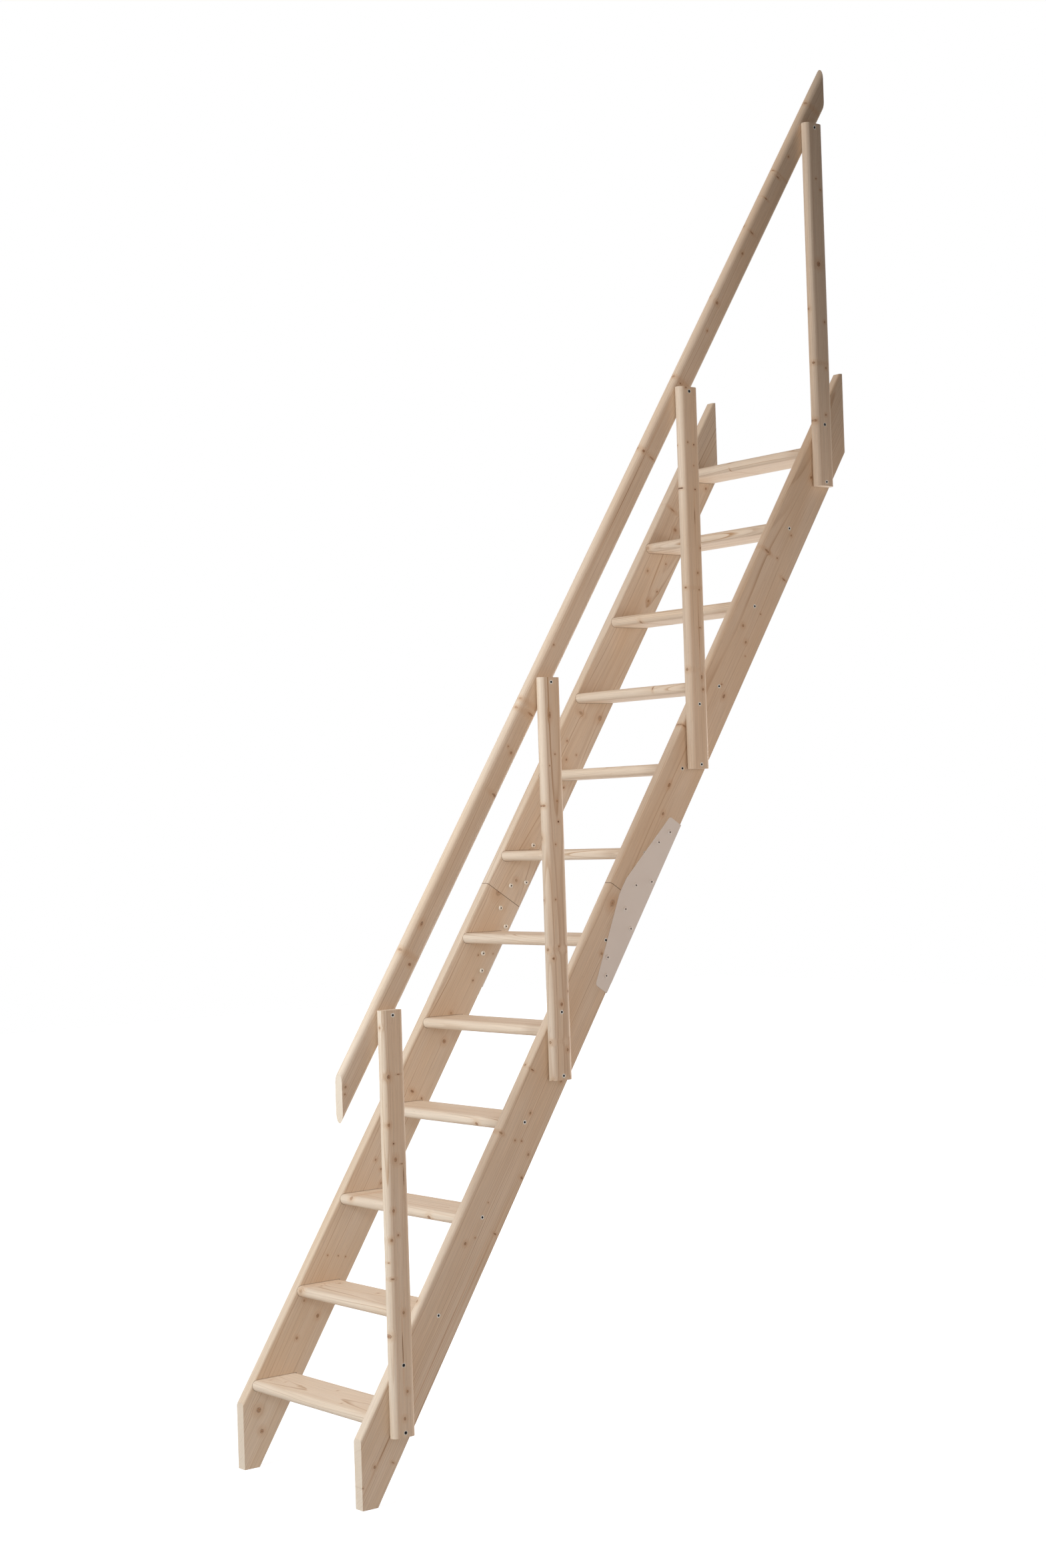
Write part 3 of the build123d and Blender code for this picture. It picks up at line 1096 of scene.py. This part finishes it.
@dataclass(frozen=True)
class HeadFinish:
    """Coated bolt heads: the plate's colour outside, cream on the caps inside the stair, painted
    shade down in their sockets.
    """

    outer: Colour = linear(234, 228, 222)
    cap: Colour = linear(238, 229, 214)
    soiled: Colour = linear(160, 150, 138)
    shadow: Colour = linear(52, 46, 41)
    cap_reach: Pair = (0.2550, 0.2600)
    socket_open: Pair = (0.35, 0.80)
    soiled_share: float = 0.12
    mottle_lumps: float = 600.0
    mottle_strength: float = 0.2
    mottle_depth: float = 0.0001
    roughness: float = 0.4

    def make(self, name: str) -> bpy.types.Material:
        """Makes the material.

        Args:
            name: The material's name.

        Returns:
            The material.
        """
        material, graph = new_material(name)
        position = graph.place()
        across = graph.split(position)["X"]
        from_middle = graph.maths("ABSOLUTE", graph.maths("SUBTRACT", across, STAIR_MIDDLE))
        colour = graph.mix(graph.fade(from_middle, *self.cap_reach), self.outer, self.cap)
        mottle = graph.noise(position, scale=self.mottle_lumps)
        soiled = graph.ramp(mottle, *NOISE_MIDDLE, 0.0, self.soiled_share)
        colour = graph.mix(soiled, colour, self.soiled)
        # Painted shade down in the sockets
        shade = graph.fade(graph.openness(), *self.socket_open)
        colour = graph.mix(shade, colour, self.shadow)
        normal = graph.bump(mottle, self.mottle_strength, self.mottle_depth)
        graph.surface(Base_Color=colour, Normal=normal, Roughness=self.roughness)
        return material


def dress(node: bpy.types.Object, material: bpy.types.Material) -> None:
    """Gives a node of the frame its material in every slot.

    Args:
        node: The frame's node.
        material: The material.
    """
    if not node.material_slots:
        node.data.materials.append(material)
    for slot in node.material_slots:
        slot.material = material
    log.info("%s: %s", node.name, material.name)


@dataclass
class Stringers:
    """The two sloping side boards, each in two lengths."""

    spruce: SpruceFinish
    left_middle: float = -0.515
    joint: float = 1.499
    cuts: dict[str, Cut] = field(
        default_factory=lambda: {
            "left lower": Cut(11, (0.010, -0.045), 0.0048, 0.05, 0.75),
            "left upper": Cut(12, (-0.085, -0.05), 0.0052, 0.06, 0.65),
            "right lower": Cut(13, (-0.150, 0.03), 0.0058, 0.05, 0.68),
            "right upper": Cut(14, (-0.010, -0.06), 0.0056, 0.05, 0.55),
        }
    )

    def dress(self, nodes: dict[str, bpy.types.Object]) -> None:
        """Gives each length its own board of the log.

        Args:
            nodes: The frame's nodes by name.
        """
        for board, cut in self.cuts.items():
            side, length = board.split()
            middle = self.left_middle if side == "left" else 0.0
            lay = BoardLay(Vector((middle, *FOOT_FRONT)), CLIMB, SQUARE)
            # The housings get painted shade round each tread
            jointed = replace(cut, seam=self.joint, housings=True)
            material = self.spruce.make(board, lay, jointed)
            dress(nodes[f"{side}_stringer_{length}"], material)


@dataclass
class Treads:
    """The twelve round-nosed steps, some sawn through the middle of the log and so flamed."""

    spruce: SpruceFinish
    flamed: tuple[int, ...] = (3, 4, 5, 7, 9, 11)
    flamed_pith: Pair = (0.052, 0.003)
    flamed_strength: float = 1.00
    plain_pith: Pair = (0.03, -0.05)
    pith_steps: Pair = (0.012, -0.01)
    pith_rounds: tuple[int, int] = (5, 3)
    plain_strength: float = 0.70
    first_seed: int = 31
    ring_width: float = 0.0046
    wander: float = 0.06
    warmth: float = 0.2

    def cut(self, number: int) -> Cut:
        """Picks a step's place in the log, which moves a little from one plain step to the next.

        Args:
            number: The step's number from below, from 1.

        Returns:
            The cut.
        """
        pith = tuple(
            start + step * (number % turns)
            for start, step, turns in zip(self.plain_pith, self.pith_steps, self.pith_rounds)
        )
        strength = self.plain_strength
        if number in self.flamed:
            pith, strength = self.flamed_pith, self.flamed_strength
        seed = self.first_seed + number - 1
        return Cut(seed, pith, self.ring_width, self.wander, strength, warmth=self.warmth)

    def dress(self, nodes: dict[str, bpy.types.Object]) -> None:
        """Gives each step its own board of the log.

        Args:
            nodes: The frame's nodes by name.
        """
        for number in range(1, STEPS + 1):
            nosing = FIRST_NOSING + (number - 1) * GOING
            start = Vector((STAIR_MIDDLE, nosing, number * RISE - TREAD_THICKNESS / 2))
            lay = BoardLay(start, Vector((1, 0, 0)), Vector((0, 1, 0)))
            material = self.spruce.make(f"tread {number:02d}", lay, self.cut(number))
            dress(nodes[f"tread_{number:02d}"], material)


@dataclass
class Railing:
    """The handrail and its four posts."""

    spruce: SpruceFinish
    rail_across: float = 0.0005
    rail_above: float = 0.4481
    rail_cut: Cut = Cut(50, (0.055, -0.04), 0.0050, 0.03, 0.50, warmth=0.25)
    post_cuts: tuple[Cut, ...] = (
        Cut(61, (-0.045, -0.030), 0.0048, 0.03, 0.60),
        Cut(62, (0.004, 0.022), 0.0058, 0.035, 0.80),
        Cut(63, (-0.050, -0.035), 0.0048, 0.03, 0.50),
        Cut(64, (0.045, -0.040), 0.0050, 0.03, 0.60),
    )

    def dress(self, nodes: dict[str, bpy.types.Object]) -> None:
        """Gives the rail and each post its own board of the log.

        Args:
            nodes: The frame's nodes by name.
        """
        start = Vector((self.rail_across, *FOOT_FRONT)) + SQUARE * self.rail_above
        rail = self.spruce.make("handrail", BoardLay(start, CLIMB, SQUARE), self.rail_cut)
        dress(nodes["handrail"], rail)
        for number, cut in enumerate(self.post_cuts, 1):
            low, high = (Vector(corner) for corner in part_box(f"post_{number}"))
            middle = (low + high) / 2
            start = Vector((middle.x, middle.y, low.z))
            lay = BoardLay(start, Vector((0, 0, 1)), Vector((0, 1, 0)))
            dress(nodes[f"post_{number}"], self.spruce.make(f"post {number}", lay, cut))


@dataclass
class Ironwork:
    """The splice plates, their bolts and the screws.

    The blackest heads, where the disc of painted shade covers most of the head, are named by their
    post and their height over its foot.
    """

    plate: PlateFinish
    zinc: ZincFinish
    heads: HeadFinish
    tread_screw_back: float = 0.0645
    post_screws_up: tuple[float, ...] = (0.011, 0.168)
    rail_screw_up: float = 0.984
    # Reach of the wider discs of painted shade on the blackest heads
    wide_black: float = 0.0040
    blackest: tuple[tuple[int, float], ...] = (
        (1, 0.011), (1, 0.168), (3, 0.984), (4, 0.168), (4, 0.984)
    )

    def tread_screws(self) -> tuple[ScrewHead, ...]:
        """Gives the heads of the screws that run into the treads' ends on one side.

        Returns:
            The heads, from the lowest tread up.
        """
        back, down = FIRST_NOSING + self.tread_screw_back, TREAD_THICKNESS / 2
        return tuple(
            ScrewHead(back + step * GOING, (step + 1) * RISE - down) for step in range(STEPS)
        )

    def railing_screws(self) -> tuple[ScrewHead, ...]:
        """Gives the heads of the screws in the posts.

        Returns:
            The heads, from the first post to the fourth.
        """
        screws = []
        for number in range(1, POSTS + 1):
            low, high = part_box(f"post_{number}")
            middle = (low[1] + high[1]) / 2
            for up in (*self.post_screws_up, self.rail_screw_up):
                black = self.wide_black if (number, up) in self.blackest else ScrewHead.black
                screws.append(ScrewHead(middle, low[2] + up, black))
        return tuple(screws)

    def dress(self, nodes: dict[str, bpy.types.Object]) -> None:
        """Coats the plates and the bolts and plates the screws with zinc.

        Args:
            nodes: The frame's nodes by name.
        """
        coat = self.plate.make("plate coat")
        heads = self.heads.make("bolt coat")
        for side in ("left", "right"):
            dress(nodes[f"{side}_splice_plate"], coat)
            dress(nodes[f"{side}_plate_bolts"], heads)
            zinc = self.zinc.make(f"zinc {side} treads", self.tread_screws())
            dress(nodes[f"{side}_tread_screws"], zinc)
        railing = self.zinc.make("zinc railing", self.railing_screws())
        for name in ("post_screws", "rail_screws"):
            dress(nodes[name], railing)


@dataclass(frozen=True)
class Lamp:
    """A square soft lamp: where it hangs, what it faces, its side, watts, colour and spread."""

    name: str
    place: Corner
    aim: Corner
    size: float
    power: float
    colour: Light
    spread: float | None = None

    def hang(self) -> None:
        """Hangs the lamp."""
        data = bpy.data.lights.new(self.name, "AREA")
        data.shape = "SQUARE"
        data.size = self.size
        data.energy = self.power
        data.color = self.colour
        if self.spread is not None:
            data.spread = self.spread
        lamp = bpy.data.objects.new(self.name, data)
        lamp.location = self.place
        towards = Vector(self.aim) - Vector(self.place)
        lamp.rotation_euler = towards.to_track_quat("-Z", "Y").to_euler()
        bpy.context.scene.collection.objects.link(lamp)


def add_sheet(name: str, corners: list[Corner], material: bpy.types.Material) -> bpy.types.Object:
    """Adds a flat four-cornered sheet to the scene.

    Args:
        name: The sheet's name.
        corners: Its corners in order round it.
        material: Its material.

    Returns:
        The sheet.
    """
    mesh = bpy.data.meshes.new(name)
    mesh.from_pydata(corners, [], [(0, 1, 2, 3)])
    mesh.materials.append(material)
    sheet = bpy.data.objects.new(name, mesh)
    bpy.context.scene.collection.objects.link(sheet)
    return sheet


@dataclass
class Studio:
    """The pale floor, the lamps, the dark flags, the world and the camera of the photograph.

    A cool key lamp hangs in front and a warm one overhead, one behind lights the floor, and
    weak ones stand by the foot and the side. The flags keep light off the head of the stair.
    """

    camera_place: Corner = (4.7425, -3.214, 1.562)
    yaw: float = radians(51.709)
    pitch: float = radians(1.087)
    roll: float = radians(-1.850)
    focal_px: float = 3669.0
    sensor: float = 36.0
    view_limit: float = 100.0
    floor_half: float = 14.0
    floor_grey: Colour = (0.62, 0.62, 0.62, 1.0)
    floor_roughness: float = 0.9
    floor_middle: Corner = (STAIR_MIDDLE, 0.7, 0.0)
    floor_lift: float = 0.68
    lift_reach: Pair = (0.8, 3.0)
    lift_colour: Colour = (0.92, 1.0, 1.06, 1.0)
    air_colour: Colour = (1.0, 0.79, 0.66, 1.0)
    air_strength: float = 0.45
    white: Colour = (1.0, 1.0, 1.0, 1.0)
    flag_black: Colour = (0.02, 0.02, 0.02, 1.0)
    flag_over: tuple[Corner, Corner] = ((-1.6, 1.45, 3.78), (1.0, 4.0, 3.78))
    flag_beside: tuple[Corner, Corner] = ((0.75, 1.35, 2.62), (0.75, 3.2, 4.2))
    lamps: tuple[Lamp, ...] = (
        Lamp("key", (0.0, -3.0, 2.7), (-0.3, 0.6, 1.2), 1.0, 101.0, (0.77, 0.91, 1.02)),
        Lamp("overhead", (-0.3, -1.2, 5.2), (-0.2, 0.4, 0.8), 3.0, 11.0, (1.0, 0.55, 0.10)),
        Lamp("behind", (-0.3, 3.6, 1.2), (-0.3, 1.0, 0.0), 1.5, 56.0, (1.0, 0.98, 0.96)),
        Lamp("foot", (0.1, -2.4, 0.45), (-0.3, 0.1, 0.4), 0.9, 5.0, (0.55, 0.82, 1.0)),
        Lamp("side", (3.2, 0.8, 2.1), (0.0, 0.9, 1.9), 1.5, 1.4, (1.0, 0.84, 0.72), 1.0),
    )

    def build(self) -> None:
        """Builds everything round the stair."""
        self.place_camera()
        self.lay_floor()
        for lamp in self.lamps:
            lamp.hang()
        self.hang_flags()
        self.fill_world()

    def place_camera(self) -> None:
        """Places the camera where the photograph was taken from."""
        level_ahead = Vector((-sin(self.yaw), cos(self.yaw), 0)) * cos(self.pitch)
        forward = level_ahead + Vector((0, 0, sin(self.pitch)))
        level = Vector((cos(self.yaw), sin(self.yaw), 0))
        upright = level.cross(forward)
        right = cos(self.roll) * level + sin(self.roll) * upright
        up = -sin(self.roll) * level + cos(self.roll) * upright
        data = bpy.data.cameras.new("camera")
        data.sensor_fit = "VERTICAL"
        data.sensor_height = self.sensor
        data.lens = self.focal_px / PHOTO_HEIGHT * self.sensor
        data.clip_end = self.view_limit
        camera = bpy.data.objects.new("camera", data)
        matrix = Matrix((right, up, -forward)).transposed().to_4x4()
        matrix.translation = self.camera_place
        camera.matrix_world = matrix
        bpy.context.scene.collection.objects.link(camera)
        bpy.context.scene.camera = camera

    def lay_floor(self) -> None:
        """Lays the pale floor that keeps the stair's shadow and turns white away from it."""
        material, graph = new_material("pale floor")
        matt = graph.add(
            "BsdfPrincipled", Base_Color=self.floor_grey, Roughness=self.floor_roughness
        )
        away = graph.vectors("DISTANCE", graph.place(), self.floor_middle).outputs["Value"]
        lifted = graph.ramp(away, *self.lift_reach, self.floor_lift, 1.0)
        strength = graph.maths("MULTIPLY", graph.seen(), lifted)
        lift = graph.add("Emission", Color=self.lift_colour, Strength=strength)
        total = graph.add("AddShader")
        graph.feed(total, 0, matt.outputs[0])
        graph.feed(total, 1, lift.outputs[0])
        graph.show(total)
        half = self.floor_half
        corners = [(-half, -half, 0), (half, -half, 0), (half, half, 0), (-half, half, 0)]
        floor = add_sheet("floor", corners, material)

    def hang_flags(self) -> None:
        """Hangs a level flag over the head of the stair and an upright one beside it.

        Both are dark, and neither the camera nor a gloss sees them.
        """
        cloth, graph = new_material("flag cloth")
        graph.surface(Base_Color=self.flag_black, Roughness=1.0)
        low, high = self.flag_over
        level = [low, (high[0], low[1], low[2]), high, (low[0], high[1], low[2])]
        low, high = self.flag_beside
        upright = [low, (low[0], high[1], low[2]), high, (low[0], low[1], high[2])]
        for name, corners in (("flag_over", level), ("flag_beside", upright)):
            flag = add_sheet(name, corners, cloth)
            flag.visible_camera = False
            flag.visible_glossy = False

    def fill_world(self) -> None:
        """Fills the world with even light, white where the camera sees it."""
        world = bpy.data.worlds.new("studio")
        world.use_nodes = True
        world.node_tree.nodes.clear()
        graph = Graph(world.node_tree)
        seen = graph.seen()
        colour = graph.mix(seen, self.air_colour, self.white)
        dimmed = 1.0 - self.air_strength
        strength = graph.maths("MULTIPLY_ADD", seen, dimmed, self.air_strength)
        graph.show(graph.add("Background", Color=colour, Strength=strength), "OutputWorld")
        bpy.context.scene.world = world
        bpy.context.scene.view_settings.view_transform = "Standard"


def main() -> None:
    """Loads the frame, dresses each sub-assembly and sets the studio round it."""
    logging.basicConfig(level=logging.INFO, format="%(message)s")
    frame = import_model()
    nodes = frame["nodes"]
    spruce = SpruceFinish(WoodGroups.build())
    Stringers(spruce).dress(nodes)
    Treads(spruce).dress(nodes)
    Railing(spruce).dress(nodes)
    Ironwork(PlateFinish(), ZincFinish(), HeadFinish()).dress(nodes)
    Studio().build()


if __name__ == "__main__":
    main()
